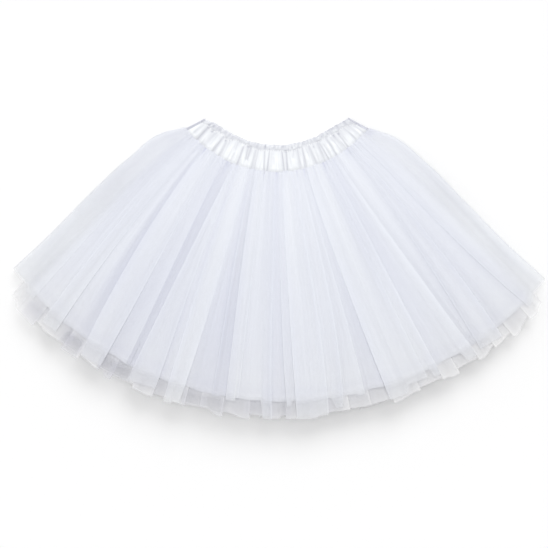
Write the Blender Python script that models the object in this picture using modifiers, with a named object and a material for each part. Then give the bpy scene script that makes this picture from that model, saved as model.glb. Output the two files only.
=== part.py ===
"""Child's ballet tutu, laid flat on its back: a gathered satin waistband and three gathered tubes of tulle.

Laid out, the skirt opens as a fan. Every piece follows arcs about one centre above the waist, so a place on
it is a radius from that centre, degrees from straight down the skirt (+X side positive) and a height over
the table. Each tube of cloth is flattened: its front lies over its back and the two meet in a fold at each
side. The outer tube holds the middle one, and that holds the inner one.

Metres, +Z up, +Y towards the waist, origin under the middle of the part.
"""

import math
from collections import namedtuple

import bpy
import numpy as np

MM = 0.001

# ---- Driving sizes -------------------------------------------------------------------------------------
BAND_TOP_RADIUS = 101 * MM  # fan centre to the upper edge of the waistband, at the middle
BAND_END_FALL = 6 * MM  # how much farther out the upper edge runs at the band's side folds
BAND_FOOT_RADIUS = 130.7 * MM
BAND_HEIGHT = BAND_FOOT_RADIUS - BAND_TOP_RADIUS
BAND_TOP_SPREAD = 48.5  # degrees each side of the middle, at the band's upper edge
BAND_FOOT_SPREAD = 51.0
SEAM_GAP = 0.4 * MM  # between two pieces where they are sewn together
TULLE_WALL = 1.1 * MM
TULLE_TOP_RADIUS = BAND_FOOT_RADIUS + SEAM_GAP
HEM_RADIUS = 403 * MM  # fan centre to the longest hem
LEFT_REACH = 292 * MM  # fan centre to the tip of each side, across the skirt
RIGHT_REACH = 297 * MM
FAN_CENTRE = (
    (LEFT_REACH - RIGHT_REACH) / 2,
    (HEM_RADIUS + (BAND_TOP_RADIUS + BAND_END_FALL) * math.cos(math.radians(BAND_TOP_SPREAD))) / 2,
)

# ---- Waistband -----------------------------------------------------------------------------------------
# Degrees of the valleys between the front's gathers, left to right: the widest gathers are in the middle.
FRONT_VALLEYS = (
    -43.5, -38.5, -34.5, -31.5, -28.5, -25.5, -22.5, -19.6, -16.0, -12.4, -10.2, -7.2, -4.4, 3.4,
    6.0, 10.4, 13.4, 16.0, 19.0, 21.6, 24.0, 27.0, 30.0, 32.6, 35.4, 38.6, 42.6,
)
BACK_GATHERS = 24
BAND_END_CURVE = 8  # how late the upper edge turns outwards
BAND_SIDE = 0.965  # of the half-spread: outside this the band is plain up to its side fold
BAND_BACK_WALL = 3.0 * MM
BAND_GAP = 1.0 * MM  # between the band's front and back
BAND_FRONT_WALL = 2.4 * MM  # without the gathers raised on it
GATHER_SINK = 0.8 * MM  # how far the valleys between gathers lie off the table on the underside
GATHER_CREST = (0.30, 0.74)  # shares of a gather's width where its crest starts and ends

# The band's side fold: share of the half-spread at its tip and where it starts to round off.
BandSide = namedtuple("BandSide", "tip shoulder")
BAND_OUTSIDE = BandSide(1.0, 0.988)
BAND_INSIDE = BandSide(0.976, 0.973)
BAND_SHOULDER_FALL = 0.6 * MM

# Down the band: place, how far the gathers stand up, how much the front wall draws in.
BandRow = namedtuple("BandRow", "from_top gather draw_in")
BAND_ROWS = (
    BandRow(0.0 * MM, 0.9 * MM, 0.9 * MM),  # folded edge of the frill
    BandRow(2.8 * MM, 1.6 * MM, 0.3 * MM),  # frill
    BandRow(5.2 * MM, 0.4 * MM, 0.8 * MM),  # stitching that closes the elastic's channel
    BandRow(9.0 * MM, 2.0 * MM, 0.0 * MM),  # channel, over the elastic
    BandRow(24.5 * MM, 2.0 * MM, 0.0 * MM),
    BandRow(BAND_HEIGHT, 0.5 * MM, 0.5 * MM),  # seam with the tulle
)

# ---- Tulle ---------------------------------------------------------------------------------------------
# Down the skirt: share of the length, degrees to the outer tube's side folds, how full the cloth stands.
SkirtRow = namedtuple("SkirtRow", "share left right fullness")
SKIRT_ROWS = (
    SkirtRow(0.000, 51.8, 51.4, 0.00),
    SkirtRow(0.085, 55.3, 54.3, 0.36),
    SkirtRow(0.280, 55.0, 53.9, 0.90),
    SkirtRow(0.500, 53.4, 52.0, 1.00),
    SkirtRow(0.750, 51.7, 50.5, 0.95),
    SkirtRow(1.000, 50.9, 50.0, 0.86),
)

# The six walls of tulle from the table up: height at the seam, how much more the middle of the skirt stands
# up, height and number of its waves, and the hem's radius at the left fold, the middle and the right fold.
# The outer front has folds in place of waves.
Wall = namedtuple("Wall", "seam rise wave waves hem_left hem_middle hem_right")
OUTER_BACK = Wall(0.55 * MM, 0.0 * MM, 3.4 * MM, 20, 376 * MM, 397 * MM, 388 * MM)
MIDDLE_BACK = Wall(2.10 * MM, 4.6 * MM, 3.0 * MM, 17, 395 * MM, 401 * MM, 400 * MM)
INNER_BACK = Wall(3.65 * MM, 8.8 * MM, 2.6 * MM, 15, 397 * MM, 403 * MM, 401 * MM)
INNER_FRONT = Wall(5.20 * MM, 12.0 * MM, 3.0 * MM, 16, 397 * MM, 400 * MM, 401 * MM)
MIDDLE_FRONT = Wall(6.75 * MM, 16.2 * MM, 3.8 * MM, 18, 395 * MM, 396 * MM, 400 * MM)
OUTER_FRONT = Wall(8.30 * MM, 22.0 * MM, 0.0 * MM, 0, 376 * MM, 383 * MM, 388 * MM)

# Each tube: its two walls, and degrees from its side folds to the outer tube's, at the hem.
Tube = namedtuple("Tube", "name back front inset")
TUBES = (
    Tube("tulle_outer", OUTER_BACK, OUTER_FRONT, 0.0),
    Tube("tulle_middle", MIDDLE_BACK, MIDDLE_FRONT, 3.2),
    Tube("tulle_inner", INNER_BACK, INNER_FRONT, 6.6),
)
INSET_AT_SEAM = 0.4  # of the inset at the hem
SIDE_TIP = 0.992  # of the half-spread: a side fold starts to round off here
WAVES_TO = 0.955  # of the half-spread: outside this a wall is plain up to its side fold
DOME_POWER = 4  # how squarely the skirt falls to its sides: higher is squarer

# A wave across a wall: share of its width, and its height from 0 to 1.
WAVE_SHAPE = ((0.0, 0), (0.28, 0), (0.48, 1), (0.80, 1))

# The folds that lie over one another on the front of the outer tube, left to right: the visible edge's
# degrees at the waist and at the hem, the side whose cloth lies on top, the degrees tucked under it, and how
# far its hem hangs below the rest. They are degrees in a fan that spreads FOLD_SPREAD each side.
Fold = namedtuple("Fold", "waist hem top tuck drop")
FOLDS = (
    Fold(-45.2, -45.0, "left", 1.0, 5 * MM),
    Fold(-42.9, -41.2, "right", 0.9, 16 * MM),
    Fold(-40.0, -38.2, "left", 0.9, 14 * MM),
    Fold(-37.4, -34.2, "right", 2.0, 17 * MM),
    Fold(-31.0, -29.4, "left", 1.4, 16 * MM),
    Fold(-27.4, -24.6, "right", 1.8, 15 * MM),
    Fold(-21.6, -19.7, "left", 1.0, 13 * MM),
    Fold(-19.4, -18.1, "right", 1.0, 22 * MM),
    Fold(-15.8, -15.4, "left", 1.0, 20 * MM),
    Fold(-12.0, -8.6, "right", 2.4, 4 * MM),
    Fold(-1.0, -0.6, "left", 1.2, 20 * MM),
    Fold(1.6, 2.9, "right", 1.2, 20 * MM),
    Fold(6.8, 8.4, "left", 1.2, 18 * MM),
    Fold(10.6, 10.9, "left", 1.1, 12 * MM),
    Fold(13.2, 18.0, "right", 2.2, 16 * MM),
    Fold(23.6, 24.9, "left", 1.8, 8 * MM),
    Fold(26.4, 27.5, "right", 1.0, 10 * MM),
    Fold(31.0, 33.4, "left", 1.2, 12 * MM),
    Fold(34.0, 35.8, "right", 0.9, 9 * MM),
    Fold(37.6, 38.9, "left", 0.9, 11 * MM),
    Fold(41.6, 44.3, "right", 1.0, 6 * MM),
)
FOLD_SPREAD = 51.0  # degrees
FOLDS_TO = 47.5  # degrees: outside this the front is plain up to its side fold
FOLD_BEND = 0.7  # power of the share of the length by which a fold's edge swings from waist to hem
FOLD_LAYER_SEAM = 1.5 * MM  # from one layer of a fold to the next
FOLD_LAYER_FULL = 2.7 * MM
FLAT_RUN = 0.7  # degrees that the cloth lies level before it goes under a fold
LEAST_PANEL = 3.0  # degrees: a panel no wider than this between two folds has no ripple
RIPPLE_EVERY = 1.5  # degrees from the crest of a ripple to the next hollow
RIPPLE = 1.0  # of a fold layer: height of the ripples on the cloth between two folds
DROP_FROM = 0.5  # share of the length where a hanging fold starts to lengthen

SATIN_COLOUR = (0.93, 0.93, 0.96, 1)
TULLE_COLOUR = (0.84, 0.85, 0.92, 1)
SHARP_ANGLE = 50  # degrees


def new_material(name, colour, roughness):
    material = bpy.data.materials.new(name)
    material.use_nodes = True
    shader = material.node_tree.nodes["Principled BSDF"]
    shader.inputs["Base Color"].default_value = colour
    shader.inputs["Roughness"].default_value = roughness
    shader.inputs["Metallic"].default_value = 0.0
    material.diffuse_color = colour
    return material


def between(low, high, part):
    return low + (high - low) * part


def fan_point(radius, degrees, height):
    """The place at that radius from the fan's centre, turned from straight down the skirt."""
    turn = math.radians(degrees)
    return (
        FAN_CENTRE[0] + radius * math.sin(turn),
        FAN_CENTRE[1] - radius * math.cos(turn),
        height,
    )


def uneven_edges(count, start):
    """Edges from -1 to 1 of a row of waves whose widths differ, because hand gathers are never even."""
    widths = np.array([1 + 0.3 * math.sin(2.4 * k + start) for k in range(count)])
    return np.concatenate(([0], np.cumsum(widths))) / widths.sum() * 2 - 1


def uneven_height(number, start):
    return 0.85 + 0.15 * math.sin(1.7 * number + start)


def dome(row, degrees):
    """1 over most of the width, falling to 0 at the outer tube's side folds."""
    share = degrees / (row.right if degrees > 0 else row.left)
    return max(0.0, 1 - share**DOME_POWER)


def wave_columns(wall, start):
    """(share of the half-spread, height in wave heights) of a wall's row of flat-topped waves."""
    edges = uneven_edges(wall.waves, start) * WAVES_TO
    columns = []
    for k in range(wall.waves):
        for place, height in WAVE_SHAPE:
            columns.append((between(edges[k], edges[k + 1], place), height * uneven_height(k, start)))
    columns.append((edges[-1], 0))
    return columns


def ripple_counts():
    """How many crests and hollows fit between each fold and the one before it, where they are closest."""
    waist = np.diff([-FOLDS_TO] + [fold.waist for fold in FOLDS])
    hem = np.diff([-FOLDS_TO] + [fold.hem for fold in FOLDS])
    room = np.minimum(waist, hem) - LEAST_PANEL
    return [max(0, int(degrees / RIPPLE_EVERY)) for degrees in room]


def fold_columns(share_down):
    """(degrees, height in fold layers, hem drop) across the front of the outer tube. A fold is an S of three
    layers. Between two folds the cloth runs from under or over one to under or over the next."""
    columns = [(-FOLDS_TO, 1.0, 0.0)]
    for fold, ripples in zip(FOLDS, ripple_counts()):
        edge = between(fold.waist, fold.hem, share_down**FOLD_BEND)
        tuck = fold.tuck
        bend = ((-FLAT_RUN, 0), (tuck, 0), (tuck, 1), (0, 1), (0, 2), (tuck + FLAT_RUN / 2, 2))
        if fold.top == "left":
            bend = [(-aside, height) for aside, height in reversed(bend)]
        last, level, drop = columns[-1]
        first, goal = edge + bend[0][0], bend[0][1]
        for k in range(1, ripples + 1):
            part = k / (ripples + 1)
            height = between(level, goal, part) + (RIPPLE if (k % 2) == (goal < 1) else -RIPPLE)
            columns.append((between(last, first, part), max(0.0, height), between(drop, fold.drop, part)))
        columns.extend((edge + aside, height, fold.drop) for aside, height in bend)
    columns.append((FOLDS_TO, 1.0, 0.0))
    return columns


class TubeRing:
    """One ring round a flattened tube, at one row of the skirt."""

    def __init__(self, tube, row):
        self.tube, self.row = tube, row
        inset = tube.inset * between(INSET_AT_SEAM, 1, row.share)
        self.left, self.right = row.left - inset, row.right - inset

    def degrees(self, share):
        return share * (self.right if share > 0 else self.left)

    def point(self, wall, share, lift=0.0, drop=0.0):
        """A point of a wall: its own height there and the lift of a wave or fold, its hem lower by drop."""
        row, degrees = self.row, self.degrees(share)
        hem = np.interp(share, (-1, 0, 1), (wall.hem_left, wall.hem_middle, wall.hem_right))
        hem += drop * max(0.0, (row.share - DROP_FROM) / (1 - DROP_FROM))
        height = wall.seam + wall.rise * row.fullness * dome(row, degrees) + lift
        return fan_point(between(TULLE_TOP_RADIUS, hem, row.share), degrees, height)

    def waves(self, wall, start):
        ring = []
        for share, height in wave_columns(wall, start):
            full = self.row.fullness * dome(self.row, self.degrees(share))
            ring.append(self.point(wall, share, height * wall.wave * full))
        return ring

    def folds(self, wall):
        ring = []
        for degrees, height, drop in fold_columns(self.row.share):
            share = degrees / FOLD_SPREAD
            full = self.row.fullness * dome(self.row, self.degrees(share))
            layer = between(FOLD_LAYER_SEAM, FOLD_LAYER_FULL, full)
            ring.append(self.point(wall, share, height * layer, drop))
        return ring

    def side(self, way):
        """From the front round a side fold to the back."""
        over = self.point(self.tube.front, way * SIDE_TIP)
        under = self.point(self.tube.back, way * SIDE_TIP)
        tip = np.mean([self.point(wall, way) for wall in (self.tube.front, self.tube.back)], axis=0)
        return [over, tuple(tip), under]

    def points(self):
        """Across the front, round the right fold, back across the underside, round the left fold."""
        front = self.waves(self.tube.front, 0.4) if self.tube.front.waves else self.folds(self.tube.front)
        back = self.waves(self.tube.back, 2.1)
        return front + self.side(1) + back[::-1] + self.side(-1)[::-1]


def gather_columns(edges, row):
    """(share of the half-spread, height from 0 to 1) of the gathers between those valleys, at that row."""
    columns = []
    for k in range(len(edges) - 1):
        tall = uneven_height(k, row.from_top / MM)
        for place, crest in ((0, 0), (GATHER_CREST[0], tall), (GATHER_CREST[1], tall)):
            columns.append((between(edges[k], edges[k + 1], place), crest))
    columns.append((edges[-1], 0))
    return columns


def band_walls(row, outside):
    """(share of the half-spread, height) across the band's front and across its back, in two lists: its
    outer faces with their gathers, or its plain inner ones."""
    valleys = np.array(FRONT_VALLEYS) / between(BAND_TOP_SPREAD, BAND_FOOT_SPREAD, 0.5)
    front = gather_columns(np.concatenate(([-BAND_SIDE], valleys, [BAND_SIDE])), row)
    back = gather_columns(uneven_edges(BACK_GATHERS, 0.9) * BAND_SIDE, row)
    bottom = BAND_BACK_WALL + BAND_GAP
    top = bottom + BAND_FRONT_WALL - row.draw_in
    if not outside:
        return [(share, bottom) for share, _ in front], [(share, BAND_BACK_WALL) for share, _ in back]
    front = [(share, top + crest * row.gather) for share, crest in front]
    back = [(share, (1 - crest) * GATHER_SINK) for share, crest in back]
    return front, back


def band_radius(from_top, share):
    """Radius of a place that far down the band: the upper edge curves outwards towards the side folds."""
    upper = BAND_TOP_RADIUS + BAND_END_FALL * abs(share) ** BAND_END_CURVE
    return between(upper, BAND_FOOT_RADIUS, from_top / BAND_HEIGHT)


def band_ring(row, outside):
    """The points of one ring round the waistband's outside or its inside."""
    spread = between(BAND_TOP_SPREAD, BAND_FOOT_SPREAD, row.from_top / BAND_HEIGHT)
    front, back = band_walls(row, outside)
    side = BAND_OUTSIDE if outside else BAND_INSIDE
    over = front[0][1] - (BAND_SHOULDER_FALL if outside else 0)
    middle = BAND_BACK_WALL + BAND_GAP / 2
    turn = [(side.shoulder, over), (side.tip, middle), (side.shoulder, back[0][1])]
    ring = front + turn + back[::-1] + [(-share, height) for share, height in reversed(turn)]
    return [fan_point(band_radius(row.from_top, share), share * spread, height) for share, height in ring]


def grid_faces(rings, columns, first=0, flip=False):
    """Quads between neighbouring rings of a closed tube, whose points are numbered ring by ring."""
    faces = []
    for i in range(rings - 1):
        for j in range(columns):
            a = first + i * columns + j
            b = first + i * columns + (j + 1) % columns
            quad = (a, b, b + columns, a + columns)
            faces.append(quad[::-1] if flip else quad)
    return faces


def add_object(name, points, faces, material, collection):
    mesh = bpy.data.meshes.new(name)
    mesh.from_pydata(points, [], faces)
    mesh.materials.append(material)
    mesh.shade_smooth()
    mesh.set_sharp_from_angle(angle=math.radians(SHARP_ANGLE))
    piece = bpy.data.objects.new(name, mesh)
    collection.objects.link(piece)
    return piece


def make_tube(tube, material, collection):
    """A tube of tulle: an open surface through its rings, given its wall by Solidify."""
    rings = [TubeRing(tube, row).points() for row in SKIRT_ROWS]
    points = [point for ring in rings for point in ring]
    faces = grid_faces(len(rings), len(rings[0]), flip=True)
    piece = add_object(tube.name, points, faces, material, collection)
    wall = piece.modifiers.new("wall", "SOLIDIFY")
    wall.thickness = TULLE_WALL
    wall.offset = 0
    wall.use_even_offset = True
    return piece


def make_waistband(material, collection):
    """The casing with its elastic: gathers raised on the outside over a plain inside."""
    outside = [band_ring(row, True) for row in BAND_ROWS]
    inside = [band_ring(row, False) for row in BAND_ROWS]
    count, columns = len(BAND_ROWS), len(outside[0])
    points = [point for ring in outside + inside for point in ring]
    start = count * columns
    faces = grid_faces(count, columns, flip=True)
    faces += grid_faces(count, columns, first=start)
    last = (count - 1) * columns
    for j in range(columns):
        k = (j + 1) % columns
        faces.append((j, k, start + k, start + j))
        faces.append((last + k, last + j, start + last + j, start + last + k))
    return add_object("waistband", points, faces, material, collection)


def clear_scene():
    for item in list(bpy.data.objects):
        bpy.data.objects.remove(item)


def main():
    clear_scene()
    collection = bpy.data.collections.new("ballet_tutu")
    bpy.context.scene.collection.children.link(collection)
    satin = new_material("white_satin", SATIN_COLOUR, 0.38)
    tulle = new_material("white_tulle", TULLE_COLOUR, 0.75)
    make_waistband(satin, collection)
    for tube in TUBES:
        make_tube(tube, tulle, collection)


main()
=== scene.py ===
"""Child's ballet tutu laid flat and seen from above: a satin waistband and three gathered tubes of tulle.

Everything lies on one fan: a place is a radius from the fan's centre above the waist, degrees from straight
down the skirt (+X side positive) and a height over the table. Metres.
"""
import math

import bpy
import numpy as np
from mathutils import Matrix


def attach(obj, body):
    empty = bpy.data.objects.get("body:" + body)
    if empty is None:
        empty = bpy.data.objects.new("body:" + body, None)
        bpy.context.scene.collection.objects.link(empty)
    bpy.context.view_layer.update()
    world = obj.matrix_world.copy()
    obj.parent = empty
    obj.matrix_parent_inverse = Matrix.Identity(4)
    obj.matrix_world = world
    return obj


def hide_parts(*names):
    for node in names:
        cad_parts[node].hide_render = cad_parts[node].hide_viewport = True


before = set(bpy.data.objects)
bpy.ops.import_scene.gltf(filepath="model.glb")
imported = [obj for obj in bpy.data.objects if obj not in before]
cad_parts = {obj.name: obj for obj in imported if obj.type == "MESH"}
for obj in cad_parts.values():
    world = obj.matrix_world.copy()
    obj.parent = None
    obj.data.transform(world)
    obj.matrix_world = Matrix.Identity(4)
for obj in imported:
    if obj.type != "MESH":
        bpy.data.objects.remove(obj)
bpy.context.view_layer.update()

# ======================================================================================================
# Waistband. A tube of white satin folded over a flat elastic. A row of stitches 5 to 18 mm below the fold
# leaves a small frill above it. Relaxed, the elastic draws the satin into soft gathers, and the tulle is
# sewn to its foot.
# ======================================================================================================
MM = 0.001
FAN_X = -2.5 * MM
FAN_Y = 236.95 * MM
BAND_TOP_RADIUS = 101 * MM
BAND_END_FALL = 6 * MM  # the upper edge runs this much farther out at the side folds
BAND_END_CURVE = 8  # power that keeps the fall close to them
BAND_FOOT_RADIUS = 130.7 * MM
BAND_HEIGHT = BAND_FOOT_RADIUS - BAND_TOP_RADIUS
BAND_TOP_SPREAD = 48.5  # degrees
BAND_FOOT_SPREAD = 51.0
BAND_BACK_INSIDE = 2.9 * MM  # upper face of the band's back, which lies on the table
BAND_FRONT_INSIDE = 4.1 * MM  # lower face of the band's front
BAND_FRONT_OUTSIDE = 5.8 * MM  # outer face of the front, in the valleys between gathers
BAND_UNFILLED_DROP = 0.5 * MM  # how much lower the front lies above the gathers
BAND_SIDE_BULGE = 0.8  # degrees that the outer satin rounds out at each side fold
BAND_INNER_BULGE = 0.1
BAND_REST = 0.12 * MM  # the back's outer face over the table
GATHER_HEIGHT = 1.6 * MM
BACK_VALLEY_DEPTH = 0.8 * MM
FRILL_LIFT = (0.10 * MM, 0.45 * MM)  # least and most that the frill's ruffles stand up
FRILL_SCALLOP = 0.7 * MM  # how far they move the upper edge in and out
TOP_EDGE_WANDER = 0.4 * MM
FOOT_SCALLOP = 0.7 * MM  # how far the valleys draw the foot up
STITCH_SINK = (0.02 * MM, 0.15 * MM)  # least and most that the stitches draw the satin in
STITCH_FURROW = 0.7 * MM  # half-width of the furrow along them
CURL_DEPTH = 0.4 * MM
STITCH_PITCH = 5.3 * MM  # in the satin's own coordinates
DRAWN_IN = 2.2  # those coordinates over the width that the elastic leaves
BAND_COLUMNS = 1560
BAND_SIDE_COLUMNS = 40  # of them, round each side fold
BAND_ROWS_OUT = 38
BAND_ROWS_IN = 20

# Where the front is stitched, which wanders as the elastic draws it up.
STITCHING = np.array([
    # degrees, mm below the upper fold
    (-52, 8.5), (-48, 7.7), (-45, 6.5), (-43, 8.0), (-40, 9.5), (-37, 6.2), (-33.5, 6.0), (-31, 8.6),
    (-29.5, 8.8), (-27.5, 6.0), (-25, 4.8), (-18, 5.0), (-13, 7.2), (-8, 7.2), (-4, 6.0), (2, 6.0),
    (5, 7.4), (10, 7.6), (15, 6.2), (18, 5.4), (24, 6.2), (30, 5.9), (36, 7.2), (38, 8.4), (41, 6.6),
    (43.5, 7.4), (46, 10.0), (48, 14.0), (52, 18.0),
])

# Valleys between the gathers of the front, left to right: degrees at the stitching and at the foot, the
# half-width in degrees at each, the depth as a share, and where each begins and ends, as shares of the
# band's height. The broad ones are hollows that several gathers share.
VALLEYS = np.array([
    # stitching, foot, width, foot width, depth, from, to
    (-47.6, -50.2, 0.5, 0.6, 0.9, 0.10, 1.1), (-45.9, -46.3, 0.5, 1.1, 0.55, 0.25, 0.95),
    (-43.3, -42.7, 0.6, 0.8, 1.0, 0.15, 1.1), (-40.3, -39.6, 0.8, 0.2, 0.8, 0.10, 0.45),
    (-37.6, -38.6, 0.7, 1.3, 0.55, 0.25, 1.1), (-36.0, -36.6, 0.4, 0.5, 0.35, 0.30, 0.9),
    (-32.5, -33.2, 0.5, 0.8, 1.0, 0.20, 1.1), (-30.8, -29.2, 0.6, 0.9, 0.8, 0.15, 1.1),
    (-28.6, -28.4, 0.3, 0.8, 0.5, 0.20, 1.1), (-25.6, -23.6, 0.3, 0.2, 0.30, 0.15, 0.55),
    (-24.4, -22.6, 0.3, 0.2, 0.30, 0.15, 0.60), (-23.4, -23.1, 0.2, 0.5, 0.35, 0.60, 1.1),
    (-20.0, -19.8, 0.3, 0.5, 0.9, 0.25, 1.1), (-17.6, -16.0, 1.0, 0.15, 0.8, 0.12, 0.80),
    (-15.4, -16.0, 1.0, 0.15, 0.8, 0.12, 0.80), (-12.6, -12.2, 0.4, 1.0, 0.8, 0.20, 1.1),
    (-11.2, -11.2, 0.3, 0.3, 0.7, 0.20, 1.1), (-7.7, -6.4, 0.35, 0.35, 0.85, 0.12, 1.1),
    (-4.5, -4.8, 0.3, 0.4, 1.0, 0.12, 1.1), (-2.2, -1.6, 0.2, 0.7, 0.25, 0.45, 0.8),
    (2.6, 3.4, 0.3, 0.5, 0.95, 0.12, 1.1), (3.4, 4.3, 0.3, 0.9, 0.45, 0.40, 1.1),
    (5.3, 5.0, 0.5, 0.3, 1.0, 0.12, 1.1), (10.8, 6.4, 0.5, 0.3, 0.45, 0.22, 0.62),
    (12.0, 11.6, 0.4, 0.8, 0.7, 0.18, 1.1), (13.0, 12.6, 0.2, 0.3, 0.3, 0.30, 1.1),
    (15.2, 14.0, 0.4, 0.6, 1.0, 0.10, 1.1), (17.0, 16.6, 0.5, 0.2, 0.35, 0.20, 0.5),
    (18.9, 19.3, 0.5, 1.0, 0.95, 0.20, 1.1), (21.4, 21.6, 0.6, 0.2, 0.45, 0.12, 0.45),
    (24.4, 23.6, 0.5, 1.1, 0.6, 0.18, 1.1), (24.9, 25.8, 0.4, 0.6, 0.65, 0.22, 1.1),
    (26.8, 27.3, 0.4, 0.6, 0.45, 0.35, 1.1), (30.0, 30.2, 0.5, 0.6, 0.75, 0.18, 1.1),
    (32.4, 33.3, 0.5, 0.8, 0.7, 0.22, 1.1), (34.4, 35.4, 1.0, 1.6, 0.75, 0.12, 1.1),
    (37.4, 36.9, 0.6, 0.7, 0.8, 0.10, 1.1), (39.8, 39.6, 2.2, 2.2, 0.40, 0.10, 1.1),
    (41.6, 42.4, 0.6, 0.9, 0.65, 0.20, 1.1), (44.3, 44.8, 2.0, 2.0, 0.42, 0.10, 1.1),
    (45.2, 45.3, 0.4, 0.6, 0.5, 0.25, 1.1), (46.6, 47.4, 0.6, 0.8, 0.7, 0.15, 1.1),
    (48.2, 50.3, 0.3, 0.4, 0.8, 0.10, 1.1),
])

# Small curls of the frill and pockets along the stitching: degrees, mm below the upper fold, half-width in
# degrees, half-height in mm, and depth. A curl sinks the satin and is painted darker, a painted shade; where
# its depth is negative the satin stands up and is painted lighter, a painted highlight.
CURLS = np.array([
    # place, below, width, height, depth
    (-43.9, 5.8, 0.5, 0.9, 0.5), (-43.0, 8.9, 0.8, 0.8, 0.4), (-42.6, 4.6, 0.5, 1.5, -0.5),
    (-41.3, 4.4, 0.4, 1.2, 0.6), (-40.0, 10.4, 0.7, 0.8, 0.4), (-39.6, 6.0, 0.4, 0.6, -0.3),
    (-38.5, 8.7, 0.5, 0.8, -0.3), (-36.8, 4.2, 1.2, 0.8, 0.25), (-34.3, 6.6, 0.5, 1.5, -0.4),
    (-31.8, 7.4, 0.9, 0.8, 0.4), (-30.9, 10.2, 0.4, 1.2, 0.55), (-29.8, 7.5, 0.8, 2.5, -0.25),
    (-27.5, 6.0, 0.4, 1.5, 0.2), (-22.4, 5.2, 1.2, 0.5, 0.35), (-20.7, 6.7, 0.5, 1.0, -0.35),
    (-17.5, 6.0, 0.5, 1.2, 0.45), (-16.2, 6.0, 0.7, 1.0, 0.5), (-14.3, 6.9, 0.6, 1.0, -0.4),
    (-11.5, 4.9, 1.6, 1.6, 0.2), (-7.3, 2.7, 0.45, 1.8, 0.45), (-6.3, 1.4, 0.6, 0.9, -0.45),
    (-4.8, 5.2, 0.5, 1.3, 0.35), (-4.0, 0.6, 0.4, 0.8, 0.4), (-2.8, 1.7, 0.8, 0.8, -0.3),
    (-0.5, 5.9, 1.5, 0.5, 0.35), (3.6, 1.8, 1.0, 0.7, 0.35), (4.8, 6.9, 0.7, 1.4, 0.55),
    (6.6, 5.5, 0.3, 1.3, 0.4), (9.0, 4.1, 0.35, 1.2, 0.55), (10.0, 7.6, 0.7, 0.6, 0.45),
    (10.3, 4.9, 0.5, 0.9, -0.45), (11.7, 3.2, 0.6, 1.2, -0.45), (13.0, 6.0, 0.6, 0.6, 0.3),
    (14.2, 3.2, 0.5, 1.0, -0.3), (15.9, 2.1, 0.35, 1.5, 0.45), (17.2, 13.2, 0.3, 0.6, 0.25),
    (21.3, 9.5, 0.4, 0.8, 0.4), (25.0, 5.4, 1.2, 0.6, 0.35), (26.3, 6.5, 0.4, 0.8, 0.35),
    (26.4, 2.0, 0.4, 0.8, -0.35), (28.2, 3.1, 0.5, 0.8, 0.35), (29.5, 4.8, 0.6, 0.8, -0.25),
    (30.8, 6.2, 0.6, 0.6, 0.45), (32.3, 3.7, 0.5, 0.7, 0.45), (33.0, 7.2, 0.7, 1.3, -0.3),
    (33.3, 0.7, 0.7, 0.5, 0.3), (34.6, 8.6, 0.5, 2.2, 0.3), (36.3, 1.6, 0.7, 0.8, 0.55),
    (37.4, 4.8, 0.6, 1.2, -0.6), (37.6, 10.2, 0.5, 1.0, 0.6), (42.0, 3.4, 0.5, 1.2, -0.25),
    (44.6, 0.7, 0.4, 0.7, 0.55), (47.0, 4.1, 0.4, 1.3, -0.6),
])


def between(start, end, share):
    """The value that share of the way from start to end."""
    return start + (end - start) * share


def eased(start, end, value):
    """0 before start, 1 after end, and a smooth S between them."""
    t = np.clip((value - start) / (end - start), 0, 1)
    return t * t * (3 - 2 * t)


def fan_points(radius, degrees, height):
    """Places on the fan: x and y go round its centre by degrees at radius, z is height."""
    turn = np.radians(degrees)
    return np.stack([FAN_X + radius * np.sin(turn), FAN_Y - radius * np.cos(turn), height], axis=-1)


def wander(a, b, seed, waves=5):
    """Smooth unevenness, mostly within -1 to 1: a sum of sines of two coordinates, each with its own seeded
    frequencies and phase."""
    rng = np.random.default_rng(seed)
    total = np.zeros(np.broadcast(a, b).shape)
    for _ in range(waves):
        fa, fb = rng.normal(0, 1, 2)
        total = total + np.sin(fa * a + fb * b + rng.uniform(0, 2 * math.pi))
    return total / waves**0.5 / 1.2


def valley_depth(degrees, down, valleys):
    """How deep the satin is drawn: the deepest of the valleys' bells, 1 on a valley's line and falling to 0
    beyond its width with a long soft skirt. Line and width run evenly from the stitching to the foot."""
    depth = np.zeros(np.broadcast(degrees, down).shape)
    for upper, foot, width, foot_width, deep, first, last in valleys:
        away = np.abs((degrees - between(upper, foot, down)) / between(width, foot_width, down))
        bell = 0.75 * np.exp(-((away / 1.15) ** 1.8)) + 0.25 * np.exp(-away / 3)
        shown = eased(first - 0.06, first + 0.06, down) * (1 - eased(last - 0.12, last, down))
        depth = np.maximum(depth, deep * bell * shown)
    return depth


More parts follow.
